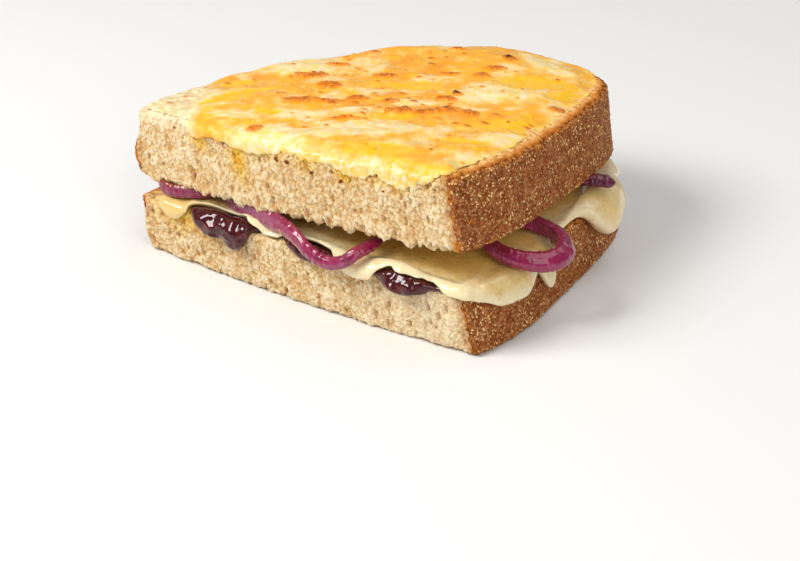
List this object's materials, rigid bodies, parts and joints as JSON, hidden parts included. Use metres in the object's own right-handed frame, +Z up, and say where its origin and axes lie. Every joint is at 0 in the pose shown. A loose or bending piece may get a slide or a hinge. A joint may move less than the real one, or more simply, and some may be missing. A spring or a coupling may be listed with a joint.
{
  "type": "grilled cheese sandwich",
  "caption": "Half of a thick-cut grilled cheese sandwich with red onion, dark chutney and melted cheese between the slices, and grilled cheese on top.",
  "frame": {"origin": "middle of the bounding box's base, on the surface that the sandwich rests on", "axes": "+X along the cut face towards the loaf's base crust, -Y the way the cut face looks, +Z up through the layers"},
  "size_m": [0.123, 0.101, 0.0499],
  "materials": {
    "bread": "open pale crumb on the cut, fine-grained brown crust round the slice",
    "chutney": "wet, sticky and lumpy",
    "cheese": "melted, smooth and satin, slightly translucent",
    "onion": "fried soft, oily and translucent, with fine ridges",
    "grilled_cheese": "bubbled and browned in spots, oily"
  },
  "bodies": {
    "root": {"bread_bottom": "bread", "bread_top": "bread", "chutney": "chutney", "cheese_filling": "cheese", "onion_left": "onion", "onion_front": "onion", "onion_ring": "onion", "onion_back": "onion", "cheese_topping": "grilled_cheese"}
  },
  "joints": []
}
